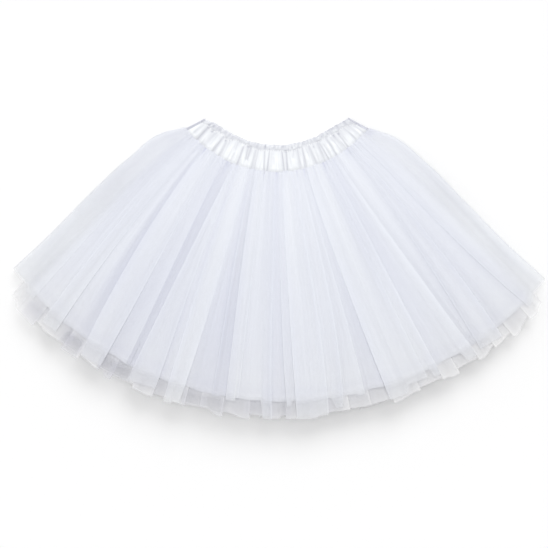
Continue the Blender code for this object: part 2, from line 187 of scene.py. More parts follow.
def grid_mesh(name, points, uv, closed_columns=False, flip=False, values=None):
    """A mesh of quads through a grid of points, rows by columns, with a UV map and named point values. A
    closed grid joins its last column to its first."""
    rows, columns = points.shape[:2]
    row = np.arange(rows - 1)[:, None]
    column = np.arange(columns if closed_columns else columns - 1)[None, :]
    next_column = (column + 1) % columns
    corners = [row * columns + column, row * columns + next_column,
               (row + 1) * columns + next_column, (row + 1) * columns + column]
    quads = np.stack([np.broadcast_to(c, (row.size, column.size)) for c in corners], axis=-1).reshape(-1, 4)
    if flip:
        quads = quads[:, ::-1]
    mesh = bpy.data.meshes.new(name)
    mesh.vertices.add(rows * columns)
    mesh.vertices.foreach_set("co", points.reshape(-1).astype(np.float32))
    mesh.loops.add(quads.size)
    mesh.loops.foreach_set("vertex_index", quads.reshape(-1).astype(np.int32))
    mesh.polygons.add(len(quads))
    mesh.polygons.foreach_set("loop_start", np.arange(0, quads.size, 4, dtype=np.int32))
    mesh.update(calc_edges=True)
    mesh.shade_smooth()
    layer = mesh.uv_layers.new(name="cloth")
    layer.data.foreach_set("uv", uv.reshape(-1, 2)[quads.reshape(-1)].reshape(-1).astype(np.float32))
    for key, numbers in (values or {}).items():
        field = mesh.attributes.new(key, "FLOAT", "POINT")
        field.data.foreach_set("value", numbers.reshape(-1).astype(np.float32))
    piece = bpy.data.objects.new(name, mesh)
    bpy.context.collection.objects.link(piece)
    return piece


def back_valleys(count, spread, seed):
    """Seeded valleys for the band's back, unevenly spaced, in the columns of VALLEYS."""
    rng = np.random.default_rng(seed)
    places = np.linspace(-spread, spread, count) + rng.normal(0, 0.6, count)
    columns = [places, places + rng.normal(0, 0.7, count), rng.uniform(0.3, 0.7, count),
               rng.uniform(0.3, 1.0, count), rng.uniform(0.4, 1, count), np.full(count, 0.2),
               np.full(count, 1.1)]
    return np.stack(columns, axis=-1)


def band_surface():
    """The casing as one strip of satin folded over. Columns run across the front, round the right fold, back
    across the underside and round the left fold; rows run up the outside, over the fold and down the inside.
    Height over the band's middle plane = plain face + gathers + frill - pinch at the stitching - curls."""
    side = BAND_SIDE_COLUMNS
    face = BAND_COLUMNS // 2 - side
    across = np.linspace(-1, 1, face, endpoint=False)
    turn = np.linspace(0, math.pi, side, endpoint=False)
    share = np.concatenate([across, np.ones(side), -across, -np.ones(side)])
    over = np.concatenate([np.ones(face), np.cos(turn), -np.ones(face), -np.cos(turn)])  # 1 front, -1 back
    tip = np.concatenate([np.zeros(face), np.sin(turn), np.zeros(face), np.sin(turn)])

    down = np.concatenate([np.linspace(1, 0, BAND_ROWS_OUT), np.linspace(0, 1, BAND_ROWS_IN + 1)[1:]])
    down = down[:, None]
    outside = (np.arange(len(down)) < BAND_ROWS_OUT)[:, None]
    from_top = down * BAND_HEIGHT
    degrees = share * (between(BAND_TOP_SPREAD, BAND_FOOT_SPREAD, down) - BAND_SIDE_BULGE)
    depth = np.where(over > 0, valley_depth(degrees, down, VALLEYS),
                     valley_depth(degrees, down, back_valleys(34, 47, 12)))

    stitches = np.interp(degrees, STITCHING[:, 0], STITCHING[:, 1]) * MM
    # 1 on the frill, on the stitches, and where the gathers below them have filled out
    frill = 1 - eased(stitches - 2.0 * MM, stitches, from_top)
    pinch = np.exp(-((from_top - stitches) / STITCH_FURROW) ** 2)
    filled = eased(stitches - 0.5 * MM, stitches + 16 * MM, from_top) * (1 - 0.3 * eased(0.88, 1.0, down))
    soft = 0.22 * wander(degrees * 0.9, down * 4, 3) + 0.13 * wander(degrees * 2.4, down * 7, 4)
    puff = filled * (1 - depth) * (0.85 + soft)
    ruffle = 0.5 + 0.45 * wander(degrees * 1.9, down * 6, 6, waves=9) + 0.2 * wander(degrees * 4, 0, 7)
    ruffle = np.clip(ruffle, 0, 1)
    drawn = np.clip(0.5 + 0.6 * wander(degrees * 3.4, 0, 8, waves=9), 0, 1)
    curl = np.zeros(degrees.shape)
    for place, below, width, tall, deep in CURLS:
        aside, lower = (degrees - place) / width, (from_top / MM - below) / tall
        curl = curl + deep * np.exp(-(aside**2) - lower**2)
    curl = curl * outside * (over > 0)
    past_fold = eased(0, 0.03, down)
    lift = (GATHER_HEIGHT * puff + between(*FRILL_LIFT, ruffle) * frill * past_fold
            - between(*STITCH_SINK, drawn) * pinch - CURL_DEPTH * curl * past_fold)

    front_out = BAND_FRONT_OUTSIDE - BAND_UNFILLED_DROP * (1 - filled) + lift
    back_out = BACK_VALLEY_DEPTH * depth * filled + BAND_REST
    top_face = np.where(outside, front_out, BAND_FRONT_INSIDE)
    low_face = np.where(outside, back_out, BAND_BACK_INSIDE)
    # the satin turns over at the upper fold, and its two raw edges come near each other at the foot
    turned = np.sqrt(eased(-0.2 * MM, 1.2 * MM, from_top)) * (1 - 0.2 * eased(0.97, 1.0, down))
    turned = np.where(down == 0, 0, turned)
    front_middle = (front_out + BAND_FRONT_INSIDE) / 2
    back_middle = (back_out + BAND_BACK_INSIDE) / 2
    top_face = front_middle + (top_face - front_middle) * turned
    low_face = back_middle + (low_face - back_middle) * turned

    height = (top_face + low_face) / 2 + (top_face - low_face) / 2 * over
    bulge = np.where(outside, BAND_SIDE_BULGE, BAND_INNER_BULGE) * tip * share
    scallop = (FRILL_SCALLOP * frill * (ruffle - 0.5)
               + TOP_EDGE_WANDER * wander(degrees * 0.8, 0, 9) * (1 - down)
               - FOOT_SCALLOP * eased(0.88, 1, down) * depth)
    upper = BAND_TOP_RADIUS + BAND_END_FALL * np.abs(share) ** BAND_END_CURVE
    radius = between(upper, BAND_FOOT_RADIUS, down) + scallop
    points = fan_points(radius, degrees + bulge, height)
    uv = np.stack([np.radians(degrees) * BAND_TOP_RADIUS * DRAWN_IN, from_top + 0 * degrees], axis=-1)
    # painted shade: darker in the valleys and along the stitching, on the frill where it dips, at the upper
    # fold, in uneven patches, on the upper part of the front, in the curls and at the side folds; and a
    # painted highlight where a curl stands up
    drawn_up = valley_depth(degrees, np.full_like(down, 0.2), VALLEYS)
    shade = np.maximum(0.62 * depth * eased(stitches - 1.5 * MM, stitches + 1 * MM, from_top),
                       0.30 * pinch * (0.1 + 0.9 * drawn))
    shade = np.maximum(shade, frill * (0.08 + 0.34 * (1 - ruffle) + 0.24 * drawn_up))
    shade = np.maximum(shade, 0.42 * (1 - eased(0.2 * MM, 1.5 * MM, from_top)) * outside)
    shade = shade + 0.075 * wander(degrees * 1.1, down * 4, 10) + 0.065 * wander(degrees * 2.7, down * 3, 11)
    shade = shade + 0.21 * (1 - eased(0.15, 0.75, down)) * outside * (over > 0)
    shade = np.maximum(shade + curl, eased(0.980, 0.993, np.abs(share)))
    shade = np.clip(shade, 0, 1)
    # the valley value is this painted shade and painted highlight, not the valleys' depth
    return points, uv, {"valley": shade, "seam": (from_top - stitches) / MM}


class Finish:
    """A material with short calls that add its nodes. A socket is fed a number, a colour or another node's
    output."""

    def __init__(self, name, sockets):
        self.material = bpy.data.materials.new(name)
        self.material.use_nodes = True
        self.tree = self.material.node_tree
        self.shader = self.tree.nodes["Principled BSDF"]
        self.feed(self.shader, sockets)
        self.cloth = self.add("ShaderNodeUVMap", uv_map="cloth").outputs["UV"]

    def feed(self, node, sockets):
        """Link the sockets that are given an output, and set the others."""
        for key, value in sockets.items():
            if isinstance(value, bpy.types.NodeSocket):
                self.tree.links.new(value, node.inputs[key])
            else:
                node.inputs[key].default_value = value

    def add(self, kind, sockets=None, **settings):
        """A new node, with its settings made before its sockets are fed."""
        node = self.tree.nodes.new(kind)
        for key, value in settings.items():
            setattr(node, key, value)
        self.feed(node, sockets or {})
        return node

    def stretched(self, *scale):
        """The cloth's own coordinates in metres, times a scale across its threads and along them."""
        return self.add("ShaderNodeMapping", {"Vector": self.cloth, "Scale": (*scale, 1)}).outputs["Vector"]

    def noise(self, scale, detail, dimensions):
        """Smooth noise of about 0 to 1 on the cloth's own coordinates."""
        sockets = {"Vector": self.stretched(*scale), "Scale": 1.0, "Detail": detail}
        return self.add("ShaderNodeTexNoise", sockets, noise_dimensions=dimensions).outputs["Fac"]

    def maths(self, operation, a, b=0.0):
        """One operation on one value or two."""
        return self.add("ShaderNodeMath", {0: a, 1: b}, operation=operation).outputs[0]

    def total(self, start, *terms):
        """A number plus every value times its weight."""
        for value, weight in terms:
            start = self.maths("ADD", self.maths("MULTIPLY", value, weight), start)
        return start

    def stored(self, key):
        """A value that the mesh holds for each of its points."""
        return self.add("ShaderNodeAttribute", attribute_name=key).outputs["Fac"]

    def mixed(self, share, a, b, blend="MIX"):
        """Colour a, with that share of b over it."""
        node = self.add("ShaderNodeMix", data_type="RGBA", blend_type=blend)
        self.feed(node, {"Factor": share, "A": a, "B": b})
        return node.outputs["Result"]

    def ranged(self, value, start, end, interpolation="LINEAR"):
        """A value moved from one range to another: start and end each hold a place in both."""
        node = self.add("ShaderNodeMapRange", interpolation_type=interpolation)
        self.feed(node, {"From Min": start[0], "From Max": end[0], "To Min": start[1], "To Max": end[1]})
        self.feed(node, {"Value": value})
        return node.outputs["Result"]


# the satin's colour, and its colour in painted shade
SATIN = (0.865, 0.885, 0.91, 1)
SATIN_IN_PAINTED_SHADE = (0.50, 0.51, 0.575, 1)
STITCH_THREAD = (0.85, 0.86, 0.89, 1)
NEEDLE_HOLE = (0.42, 0.43, 0.50, 1)
TWILL = (2600, 420)  # grain to a metre across the satin and along its depth
STITCH_WIDTH = 0.44  # mm
STITCH_SHARE = 0.8  # of the pitch: the rest is the needle hole


def satin_finish():
    """White satin: smooth, with a soft gloss along the weave, a fine twill grain, and painted shade in its
    valleys, folds and curls, which darkens it towards a cooler grey.
    The row of machine stitches is thread, with a needle hole at each end of it."""
    satin = Finish("white_satin", {"Roughness": 0.32, "Specular IOR Level": 0.55, "Sheen Weight": 0.2,
                                   "Sheen Roughness": 0.35})
    grain = satin.noise(TWILL, 2.0, "3D")
    split = satin.add("ShaderNodeSeparateXYZ", {"Vector": satin.cloth})
    on_seam = satin.maths("LESS_THAN", satin.maths("ABSOLUTE", satin.stored("seam")), STITCH_WIDTH / 2)
    along = satin.maths("FRACT", satin.maths("MULTIPLY", split.outputs["X"], 1 / STITCH_PITCH))
    thread = satin.maths("MULTIPLY", on_seam, satin.maths("LESS_THAN", along, STITCH_SHARE))
    hole = satin.maths("MULTIPLY", on_seam, satin.maths("GREATER_THAN", along, STITCH_SHARE))
    # painted shade and painted highlight: the stored valley value darkens the satin towards its colour in
    # shade
    colour = satin.mixed(satin.stored("valley"), SATIN, SATIN_IN_PAINTED_SHADE)
    colour = satin.mixed(thread, colour, STITCH_THREAD)
    colour = satin.mixed(hole, colour, NEEDLE_HOLE)
    relief = {"Strength": 0.12, "Distance": 0.0001, "Height": satin.maths("ADD", grain, thread)}
    relief = satin.add("ShaderNodeBump", relief).outputs["Normal"]
    satin.feed(satin.shader, {"Base Color": colour, "Normal": relief})
    return satin.material


band_points, band_uv, band_values = band_surface()
waistband = grid_mesh("satin_waistband", band_points, band_uv, closed_columns=True, values=band_values)
waistband.data.materials.append(satin_finish())
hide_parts("waistband")
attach(waistband, "root")

# ======================================================================================================
# Outer tulle. A tube of soft net, gathered along its top into the waistband's foot and cut raw at the hem.
# Laid down, its front stands up in a low dome of flat folds over one another, and its back lies in shallow
# waves on the table.
# ======================================================================================================
SEAM_RADIUS = BAND_FOOT_RADIUS + 0.4 * MM
LOOSE_SPREAD = 48.7  # degrees that the folds of every wall but the outer front reach to
SEAM_TUCK = 4 * MM  # of net inside the waistband
TUCK_NARROWER = 0.03  # share by which the net draws in there
SKIRT_LENGTH = 270 * MM
TULLE_ROWS = 66
SIDE_FOLD_COLUMNS = 10
INSET_AT_SEAM = 0.4  # share of a tube's inset that it has at the seam
DEGREE_WIDTH = 4.9  # mm of net to a degree half-way down the skirt
LAYER_TURN = 1.6  # mm of net in a bend from one layer to the next
LAYER_AT_SEAM = 0.3 * MM  # height of each layer inside the waistband
SEAM_GATHER_DEPTH = 0.4 * MM
SEAM_RIPPLE = 0.2 * MM
NET_UNEVEN = 0.35 * MM
NET_REST = 0.08 * MM  # least height over the table
HEM_UNEVEN = 0.8 * MM

# Down the skirt: share of the length, degrees to the outer tube's left and right folds, how full it stands.
SKIRT = np.array([
    # share, left, right, fullness
    (0.000, 51.8, 51.4, 0.00),
    (0.085, 55.3, 54.3, 0.36),
    (0.280, 55.0, 53.9, 0.90),
    (0.500, 53.4, 52.0, 1.00),
    (0.750, 51.7, 50.5, 0.95),
    (1.000, 50.9, 50.0, 0.86),
])

# Folds on the front, left to right: degrees of the visible edge at the waist, half-way and at the hem; 1
# where the cloth to its right lies on top and -1 where the cloth to its left does; degrees tucked under; how
# far the top cloth's hem hangs below the rest there, in mm, and for how many degrees, where 9 reaches the
# next fold; and how deep the cloth under the edge lies in shade, in the upper half and in the lower.
OUTER_FOLDS = np.array([
    # waist, middle, hem, top, tuck, drop, reach, upper shade, lower shade
    (-45.4, -45.5, -44.8, -1, 0.9, 5, 1.0, 0.2, 0.2), (-43.2, -42.8, -41.2, 1, 0.9, 16, 9, 0.15, 0.3),
    (-40.2, -39.6, -38.4, -1, 0.8, 14, 9, 0.1, 0.3), (-37.4, -35.7, -33.0, 1, 1.6, 17, 9, 1.0, 0.8),
    (-31.0, -29.6, -29.4, -1, 1.2, 16, 9, 0.1, 0.35), (-26.6, -26.0, -25.8, -1, 0.8, 0, 0.5, 0.8, 0.7),
    (-21.8, -23.9, -24.6, 1, 1.2, 15, 9, 0.8, 0.9), (-20.8, -20.3, -19.8, -1, 0.7, 13, 9, 0.15, 0.6),
    (-19.4, -18.8, -18.0, 1, 1.0, 22, 9, 0.7, 0.5), (-13.8, -14.3, -15.6, -1, 1.0, 20, 9, 0.3, 0.5),
    (-12.2, -11.4, -11.0, 1, 0.6, 2, 1.0, 0.9, 0.3), (-10.4, -9.3, -8.5, 1, 1.4, 4, 2.0, 0.5, 1.0),
    (-6.3, -6.3, -6.3, -1, 0.4, 0, 0.5, 0.05, 0.1), (-1.0, -1.1, -0.7, -1, 0.8, 20, 0.6, 0.3, 0.6),
    (0.6, 0.8, 1.5, 1, 0.4, 6, 1.2, 0.2, 0.6), (2.2, 2.6, 3.0, 1, 1.0, 20, 9, 0.2, 0.4),
    (7.4, 8.9, 8.2, -1, 1.0, 18, 9, 0.15, 0.35), (11.2, 12.2, 10.6, -1, 0.8, 12, 0.9, 0.2, 0.35),
    (12.8, 14.2, 14.5, -1, 0.5, 3, 0.5, 0.4, 0.4), (14.0, 16.2, 18.1, 1, 1.6, 16, 1.3, 0.6, 1.0),
    (23.2, 24.3, 24.8, -1, 1.4, 8, 2.0, 0.6, 0.2), (25.7, 26.5, 26.9, -1, 0.8, 10, 1.5, 0.5, 0.3),
    (29.6, 31.9, 33.8, -1, 1.1, 12, 0.7, 0.15, 0.25), (36.6, 35.6, 34.6, 1, 0.6, 9, 2.0, 0.1, 0.3),
    (38.9, 39.6, 38.6, -1, 0.9, 11, 9, 0.15, 0.2), (42.2, 43.2, 44.9, 1, 0.9, 6, 9, 0.1, 0.25),
])
FOLD_SPREAD = 51.0  # degrees to a side fold, where the skirt's own outline doesn't move it

# Broad soft bands of painted shade on the front, and of painted light where the depth is negative; they
# change the net's colour only, not its shape.
PAINTED_SHADE_BANDS = np.array([
    # degrees at the waist, at the hem, half-width, depth in the upper half, in the lower
    (-48, -48, 2.5, 0.2, -0.25), (-40, -40, 2.5, 0.0, -0.2), (-35.5, -36, 2.5, 0.04, 0.26),
    (-32, -32, 2.5, -0.12, 0.0), (-27, -27.2, 3.0, 0.1, 0.36), (-24.3, -25.0, 0.7, 0.18, 0.0),
    (-20, -20.5, 2.0, -0.08, 0.2), (-16, -16.5, 2.0, -0.26, -0.26), (-12.3, -12.2, 3.0, -0.04, 0.36),
    (-7, -6, 2.5, -0.22, 0.0), (0, 0, 2.0, 0.16, 0.14), (4, 5, 3.2, -0.22, 0.0), (8, 8, 2.0, -0.1, -0.14),
    (11.5, 12, 2.0, -0.2, -0.15), (16, 16.5, 2.2, -0.14, 0.06), (20, 20, 2.5, -0.3, -0.18),
    (24, 24.5, 2.0, 0.02, -0.2), (28, 28, 2.0, 0.14, 0.14), (32, 31, 3.0, -0.16, -0.08),
    (36, 35.5, 2.5, -0.02, -0.02), (40, 39.5, 2.0, -0.02, 0.08), (48, 48, 2.0, 0.1, -0.3),
])

# Deeper gathers at the seam, which sink the net and are painted with shade along their creases.
SEAM_TUCKS = np.array([
    # degrees, half-width, how far down they run in mm, depth
    (-39.3, 0.5, 8, 1.6), (-37.0, 0.5, 8, 3.0), (-24.7, 0.35, 10, 2.4), (-22.8, 0.5, 8, 1.6),
    (-19.8, 0.4, 6, 1.6), (-7.9, 0.5, 6, 1.4), (-6.1, 0.35, 7, 3.0), (-0.3, 0.35, 8, 2.4),
    (4.2, 0.9, 6, 1.2), (9.4, 0.4, 8, 1.8), (13.0, 0.4, 10, 3.0), (22.9, 0.5, 7, 2.4), (24.2, 0.5, 9, 1.6),
    (36.0, 1.0, 8, 1.4), (48.0, 0.4, 10, 1.6),
])


def down_skirt(share, column):
    """A column of the SKIRT table at those shares of the length: a cubic between each two rows, whose slope
    at a row is that of its neighbours."""
    places, values = SKIRT[:, 0], SKIRT[:, column]
    slopes = np.gradient(values, places)
    k = np.clip(np.searchsorted(places, share, side="right") - 1, 0, len(places) - 2)
    length = places[k + 1] - places[k]
    t = np.clip((share - places[k]) / length, 0, 1)
    return ((2 * t**3 - 3 * t**2 + 1) * values[k] + (t**3 - 2 * t**2 + t) * length * slopes[k]
            + (3 * t**2 - 2 * t**3) * values[k + 1] + (t**3 - t**2) * length * slopes[k + 1])


def fold_columns(folds, spread, seed, ripples):
    """Columns across a wall of folds: degrees at the waist, half-way and at the hem, level in layers of
    cloth, hem drop in mm, 1 where a fold hides the cloth, and how many folds lie to the left. A fold is an S
    of three layers, of which the top one hangs lower for its reach; between folds the cloth ripples, so many
    times a degree."""
    rng = np.random.default_rng(seed)
    columns = [(-spread, -spread, -spread, 1.0, 0.0, 0.0, 0.0)]
    hung = 0.0  # degrees that the last fold's drop still reaches
    for number, (waist, middle, hem, top, tuck, drop, reach) in enumerate(folds[:, :7]):
        # degrees aside, level, share of the drop, hidden, share of the way past the fold
        bend = [(-0.7, 0, 0, 0, 0), (0.2, 0, 0, 0, 0.1), (tuck, 0, 0, 1, 0.25), (tuck, 1, 0.5, 1, 0.35),
                (0.1, 1, 1, 1, 0.44), (0, 1, 1, 0, 0.46), (0, 2, 1, 0, 0.54), (tuck + 0.35, 2, 1, 0, 1)]
        if top < 0:
            bend = [(-aside, level, hang, hidden, 1 - past)
                    for aside, level, hang, hidden, past in reversed(bend)]
        last, bend_drop = columns[-1], bend[0][2] * drop
        start, end = np.array(last[:3]), np.array([waist, middle, hem]) + bend[0][0]
        gap = end[2] - start[2]
        count = int(ripples * (end - start).mean())
        parts = (np.arange(1, count + 1) + rng.uniform(-0.25, 0.25, count)) / (count + 1)
        edges = [min(hung, gap) / gap, 1 - min(reach if top < 0 else 0, gap) / gap]
        steps = [e + d for e in edges for d in (-0.01, 0.01) if 0.02 < e < 0.98]
        for k, part in enumerate(sorted([*parts, *steps])):
            ripple = rng.uniform(0.05, 0.3) * (1 if k % 2 else -1)
            sag = max(last[4] * (part < edges[0]), bend_drop * (part > edges[1]))
            if edges[0] >= 1 and edges[1] <= 0:
                sag = between(last[4], bend_drop, part)
            level = max(between(last[3], bend[0][1], part) + ripple, 0)
            columns.append((*between(start, end, part), level, sag, 0.0, number))
        for aside, level, hang, hidden, past in bend:
            places = (waist + aside, middle + aside, hem + aside)
            columns.append((*places, level, hang * drop, hidden, number + past))
        hung = reach if top > 0 else 0.0
    columns.append((spread, spread, spread, 1.0, 0.0, 0.0, len(folds)))
    return np.array(columns)


def run_along(columns, step):
    """Those columns refined to one every step in mm along the cloth, straight between them."""
    across = np.diff(columns[:, :3].mean(axis=1)) * DEGREE_WIDTH
    length = np.hypot(across, np.diff(columns[:, 3]) * LAYER_TURN)
    path = np.concatenate([[0], np.cumsum(length)])
    places = np.linspace(0, path[-1], int(path[-1] / step))
    return [np.interp(places, path, column) for column in columns.T]


def rounded(values, passes):
    """A running 1-2-1 mean across the columns, which rounds the bends of folds."""
    for _ in range(passes):
        inner = (values[..., :-2] + 2 * values[..., 1:-1] + values[..., 2:]) / 4
        values = np.concatenate([values[..., :1], inner, values[..., -1:]], axis=-1)
    return values


def skirt_rows():
    """Three measures of the rows down a tube: the share of the skirt's length, closer together near the
    seam, with two rows of negative share inside the waistband; that share, kept within 0 to 1; and how far a
    row is tucked in."""
    tucked = np.array([-1.0, -0.5]) * SEAM_TUCK / SKIRT_LENGTH
    share = np.concatenate([tucked, np.linspace(0, 1, TULLE_ROWS - 2) ** 1.25])[:, None]
    return share, np.clip(share, 0, 1), np.clip(-share * SKIRT_LENGTH / SEAM_TUCK, 0, 1)


def under_folds(folds, turned, passed, below):
    """How deep each point lies in shade under a fold's edge: the fold's shade there, which dies away from
    the edge along the cloth beneath."""
    shade = np.zeros(turned.shape)
    for number, (top, upper, lower) in enumerate(folds[:, [3, 7, 8]]):
        edge = turned[:, [np.searchsorted(passed, number + 0.5)]]
        beneath = (passed < number + 0.5) if top > 0 else (passed > number + 0.5)
        beside = np.abs(passed - number - 0.5) < 1
        depth = np.interp(below, (0, 0.12, 0.4, 0.75, 1), (0.2 * upper, upper, upper, lower, lower))
        shade = np.maximum(shade, beneath * beside * depth * np.exp(-np.abs(turned - edge) / 1.4))
    return shade


# The net along a hem: degrees, how densely it lies, and how deep in shade. One row holds all the way along.
THIN_HEM = np.array([(0, 0.5, 0.0)])


def tulle_wall(folds, spread, ripples, at_seam, seam, rise, layer, hems, inset, seed, step, gathers=0,
               thin_hem=THIN_HEM, thin_from=-5 * MM, hem_dusk=0.0, painted_shade_bands=()):
    """One wall of a tube, rows by columns: radius, degrees, height, shade, cover and warmth.

    Degrees = a parabola through each column's places at the waist, half-way and at the hem. Height = the
    seam's + a dome that falls to the side folds + the fold's level in layers + soft unevenness - the
    gathers, which fade away from the seam. Radius = an even run from the seam to the hem with the folds'
    drops. Shade, all of it painted shade = the gathers' creases or the folds' edges + painted shade towards
    the hem, in a band above it (hem_dusk) and along a thin hem + the painted shade bands, which paint light
    where their depth is negative. Cover, how densely the net lies, is less where a fold hides it, along a
    thin hem and at the corners. Warmth rises to the hem and the side folds.

    Folds reach to the spread, with so many ripples a degree; at_seam and seam are the height inside the
    waistband and just below it; layer is what each layer of cloth adds; hems are the plain hem's radius at
    the left, the middle and the right; inset is in degrees from the outer tube; step is in mm; and the hem
    thins out over 10 mm from thin_from, past the plain hem."""
    columns = run_along(fold_columns(folds, spread, seed, ripples), step)
    waist, middle, hem, level, drop, hidden, passed = columns
    share, below, tuck = skirt_rows()
    left, right, full = (down_skirt(below, k) for k in (1, 2, 3))
    degrees = (1 - below) * (1 - 2 * below) * waist + 4 * below * (1 - below) * middle
    degrees = degrees + below * (2 * below - 1) * hem
    degrees = degrees + 0.15 * wander(degrees * 0.35, below * 4, seed + 1) * below
    part = rounded(degrees, 2) / FOLD_SPREAD
    edge = np.where(part > 0, right, left)
    # only the outermost folds follow the tube's side folds outward
    reach = edge - inset * between(INSET_AT_SEAM, 1, below)
    turned = part * FOLD_SPREAD + np.sign(part) * (reach - FOLD_SPREAD) * np.abs(part) ** 10
    turned = turned * (1 - TUCK_NARROWER * tuck)
    dome = np.clip(1 - (turned / edge) ** 4, 0, 1)
    opened = eased(-0.010, 0.004, share)
    level = rounded(level, 2)

    # gathers at the seam: many small ones with seeded places, and the deeper ones; they sink the net and
    # paint shade along their creases
    rng = np.random.default_rng(seed + 5)
    crease = np.zeros(turned.shape)
    for place in np.linspace(-49, 49, gathers) + rng.uniform(-0.8, 0.8, gathers):
        run = rng.uniform(0.02, 0.12)
        line = np.exp(-((turned - place * (1 + 0.10 * below)) / rng.uniform(0.18, 0.42)) ** 2)
        crease = np.maximum(crease, rng.uniform(0.35, 1.0) * line * np.exp(-((below / run) ** 1.6)))
    for place, width, run, deep in SEAM_TUCKS if gathers else ():
        line = np.exp(-((turned - place) / width) ** 2)
        crease = np.maximum(crease, deep * line * np.exp(-((below * SKIRT_LENGTH / MM / run) ** 1.6)))
    fine = np.sin(turned * 3.1 + 2.2 * wander(turned * 0.7, below * 2, seed + 2)) * np.exp(-below / 0.08)
    soft = wander(turned * 0.45, below * 3, seed + 3) + 0.4 * wander(turned * 1.3, below * 6, seed + 4)
    height = (between(at_seam, seam, opened) + rise * full * dome
              + level * between(LAYER_AT_SEAM, layer, opened)
              + SEAM_RIPPLE * fine * (1 - tuck) + NET_UNEVEN * soft * full
              - SEAM_GATHER_DEPTH * np.minimum(crease, 1.5) * opened)
    height = np.maximum(height, NET_REST)

    plain_hem = np.interp(part[-1], (-1, 0, 1), hems)
    cut_hem = plain_hem + rounded(drop, 1) * MM + HEM_UNEVEN * wander(part[-1] * 40, 0, seed + 6)
    late = eased(0.35, 1, below)
    radius = SEAM_RADIUS + (between(plain_hem, cut_hem, late) - SEAM_RADIUS) * share

    hem_cover, hem_shade = (np.interp(turned[-1], thin_hem[:, 0], thin_hem[:, k]) for k in (1, 2))
    past_hem = eased(thin_from, thin_from + 10 * MM, radius - plain_hem)
    # painted shade: in the gathers' creases, under the folds' edges, towards the hem, in a band 9 mm above
    # the hem and along a thin hem
    shade = np.maximum(0.42 * crease, 0.5 * under_folds(folds, turned, passed, below))
    above_hem = (plain_hem - radius) / MM
    shade = (shade + 0.10 * eased(0.6, 1, below) + hem_dusk * np.exp(-(((above_hem - 9) / 7) ** 2))
             + hem_shade * past_hem)
    # painted shade bands, and painted light where their depth is negative
    for upper, lower, width, deep, low_deep in painted_shade_bands:
        away = (turned - between(upper, lower, below)) / width
        shade = shade + between(deep, low_deep, eased(0.25, 0.75, below)) * np.exp(-(away**2))
    out = np.abs(part)
    cover = ((1 - 0.7 * hidden) * between(1, hem_cover, past_hem)
             * between(1, 0.8, eased(0.885, 0.935, out) * eased(0.1, 0.5, below))
             * between(1, 0.45, eased(0.88, 0.97, out) * eased(0.65, 1.0, below)))
    # the cool tint of many layers fades towards the hem and the side folds
    warm = np.maximum(below**5, 0.6 * eased(0.84, 1.0, out))
    return radius, turned, height, shade, cover, warm


def tulle_tube(name, front, back, inset):
    """A flattened tube as a closed grid: its front, round the right fold, its back the other way, round the
    left fold. A side fold = half an oval between the two walls. The net's own coordinates are metres along
    the columns and the radius; "bend" is how sharply the net turns at a column."""
    _, below, tuck = skirt_rows()
    turn = np.linspace(0, math.pi, SIDE_FOLD_COLUMNS + 2)[None, 1:-1]
    sides = []
    for way, column, end in ((1, 2, -1), (-1, 1, 0)):
        edge = down_skirt(below, column) - inset * between(INSET_AT_SEAM, 1, below)
        edge = way * edge * (1 - TUCK_NARROWER * tuck)
        over = (1 - np.cos(turn)) / 2
        side = [between(upper[:, [end]], lower[:, [end]], over) for upper, lower in zip(front, back)]
        side[1] = side[1] + (edge - side[1]) * np.sin(turn) ** 0.6
        sides.append(side)
    radius, degrees, height, shade, cover, warm = (
        np.concatenate([upper, right, lower[:, ::-1], left[:, ::-1]], axis=1)
        for upper, right, lower, left in zip(front, sides[0], back, sides[1]))
    points = fan_points(radius, degrees, height)
    # a column's own width is that near the hem, or near the waist where a panel narrows downwards
    near_ends = points[[TULLE_ROWS // 6, TULLE_ROWS * 5 // 6]]
    gap = np.linalg.norm(np.diff(near_ends, axis=1), axis=-1).max(axis=0)
    along = np.concatenate([[0], np.cumsum(gap)]) + 0 * radius
    place = np.radians(degrees) * radius.mean(axis=1, keepdims=True)
    rise, run = (np.diff(each, axis=1, append=each[:, :1]) for each in (height, place))
    heading = np.arctan2(rise, run)
    bend = np.abs(np.angle(np.exp(1j * (heading - np.roll(heading, 1, axis=1)))))
    values = {"bend": np.clip(rounded(bend, 1) / 0.8, 0, 1), "shade": shade, "cover": cover, "warm": warm,
              "below": below + 0 * radius}
    uv = np.stack([along, radius], axis=-1)
    return grid_mesh(name, points, uv, closed_columns=True, flip=True, values=values)


def loose_folds(count, seed, tuck, drop):
    """A row of small uneven folds, in the columns of OUTER_FOLDS: hand gathers never fall evenly."""
    rng = np.random.default_rng(seed)
    edges = np.linspace(-47, 47, count + 2)[1:-1]
    edges = edges + rng.uniform(-0.28, 0.28, count) * (edges[1] - edges[0])
    return np.stack([edges, edges * rng.uniform(0.99, 1.01, count), edges * rng.uniform(0.985, 1.01, count),
                     np.where(rng.random(count) < 0.5, 1, -1), rng.uniform(tuck * 0.5, tuck, count),
                     rng.uniform(0, drop, count), np.full(count, 9), rng.uniform(0.1, 0.5, count),
                     rng.uniform(0.1, 0.5, count)], axis=-1)


# the net's colour in painted shade, and in full light
NET_IN_PAINTED_SHADE = (0.665, 0.684, 0.83)
NET_IN_LIGHT = (0.915, 0.94, 1.0)
NET_WARMTH = (1.0, 0.99, 0.945, 1)  # what is left of each colour where the cool tint has faded
NET_MESHES = (2600, 2000)  # to a metre across the net and along it, as are the streaks
FINE_STREAKS = (260, 3)
BROAD_STREAKS = (50, 2)


